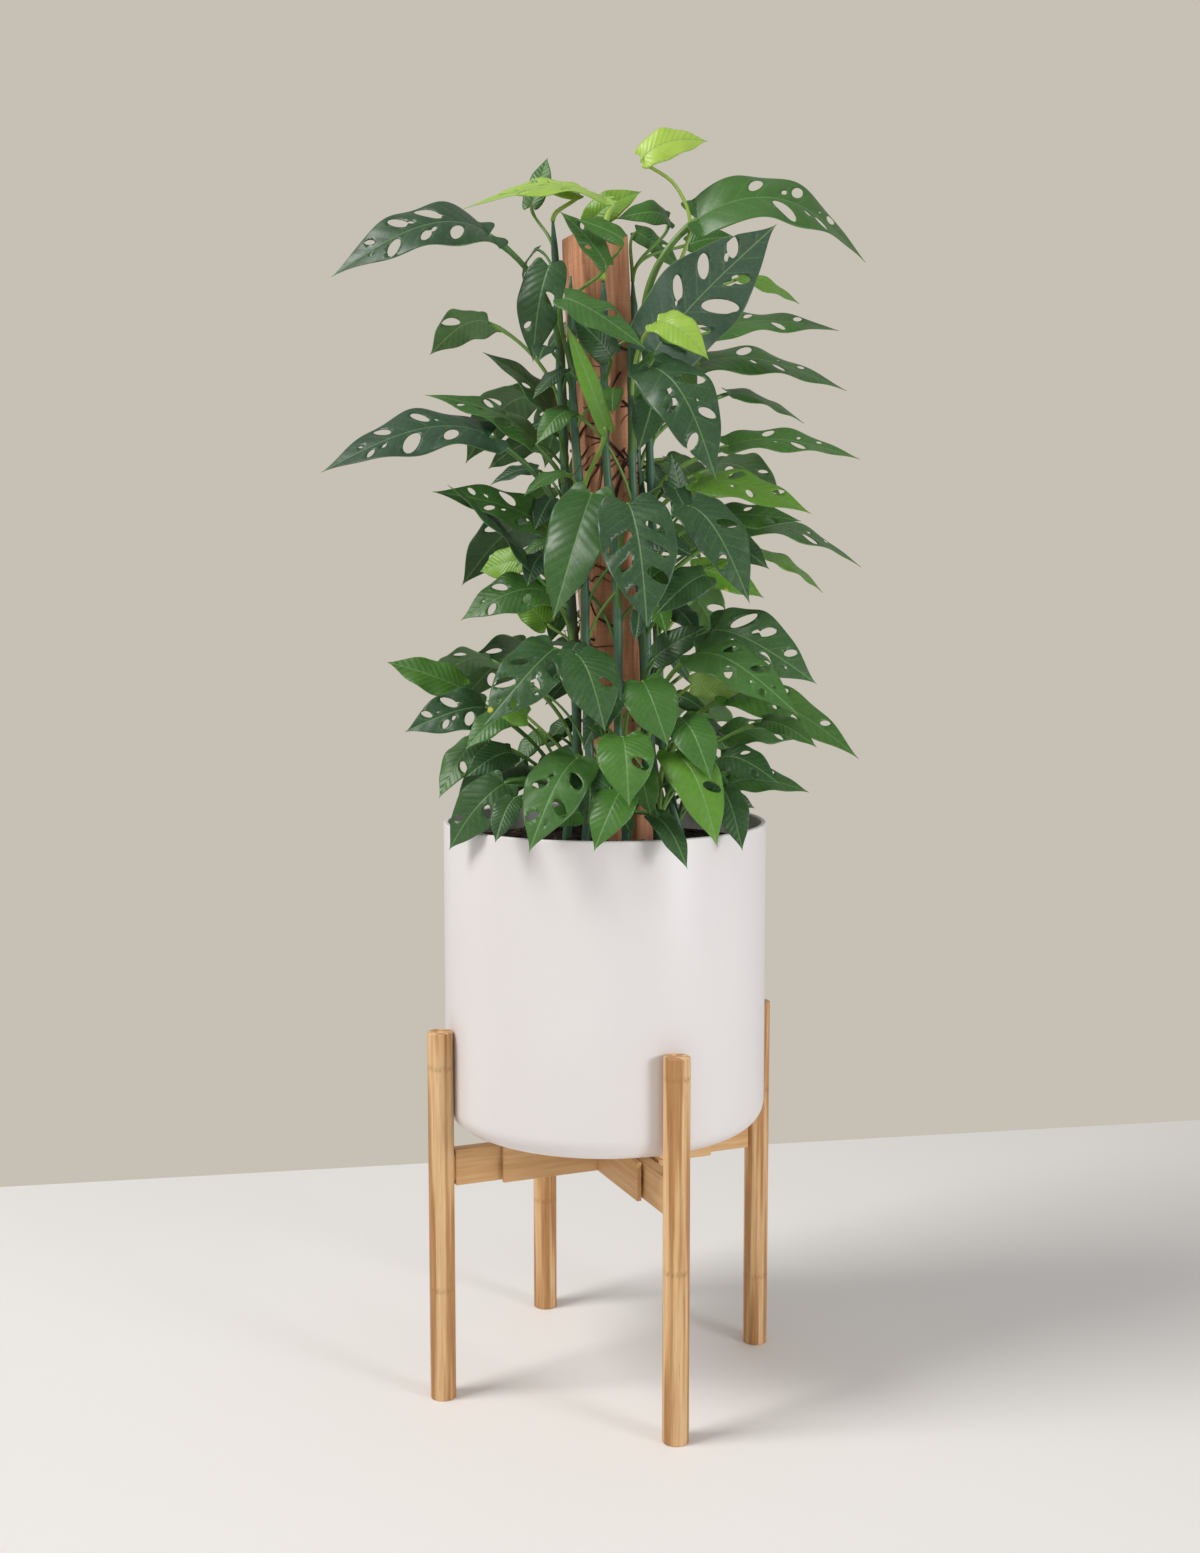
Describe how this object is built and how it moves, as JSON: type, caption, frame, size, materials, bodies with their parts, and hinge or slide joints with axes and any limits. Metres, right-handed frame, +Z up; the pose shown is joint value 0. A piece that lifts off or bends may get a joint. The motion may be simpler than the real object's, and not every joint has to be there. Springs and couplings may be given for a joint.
{
  "type": "potted monstera adansonii",
  "caption": "Climbing house plant with perforated leaves on a timber post, in a cylindrical ceramic pot on a bamboo stand with legs.",
  "frame": {"origin": "on the floor under the pot's axis", "axes": "+Z up, -Y towards the side with the most leaves, which is the front"},
  "size_m": [0.5004, 0.3792, 1.1789],
  "materials": {
    "ceramic": "satin",
    "soil": "rough",
    "timber": "rough sawn",
    "bamboo": "satin",
    "hardware": "satin",
    "foliage": "semi-gloss"
  },
  "bodies": {
    "root": {"pot": "ceramic", "soil": "soil", "post": "timber", "leg_right": "bamboo", "leg_back": "bamboo", "leg_left": "bamboo", "leg_front": "bamboo", "tongue_right": "bamboo", "tongue_back": "bamboo", "tongue_left": "bamboo", "tongue_front": "bamboo", "slat_a1": "bamboo", "slat_a2": "bamboo", "slat_b1": "bamboo", "slat_b2": "bamboo", "bolt_right": "hardware", "bolt_back": "hardware", "bolt_left": "hardware", "bolt_front": "hardware", "nut_right": "hardware", "nut_back": "hardware", "nut_left": "hardware", "nut_front": "hardware", "vine_left": "foliage", "vine_left_back": "foliage", "vine_front_left": "foliage", "vine_front": "foliage", "vine_front_right": "foliage", "vine_right": "foliage", "vine_right_back": "foliage", "vine_back": "foliage", "vine_back_left": "foliage"}
  },
  "joints": []
}
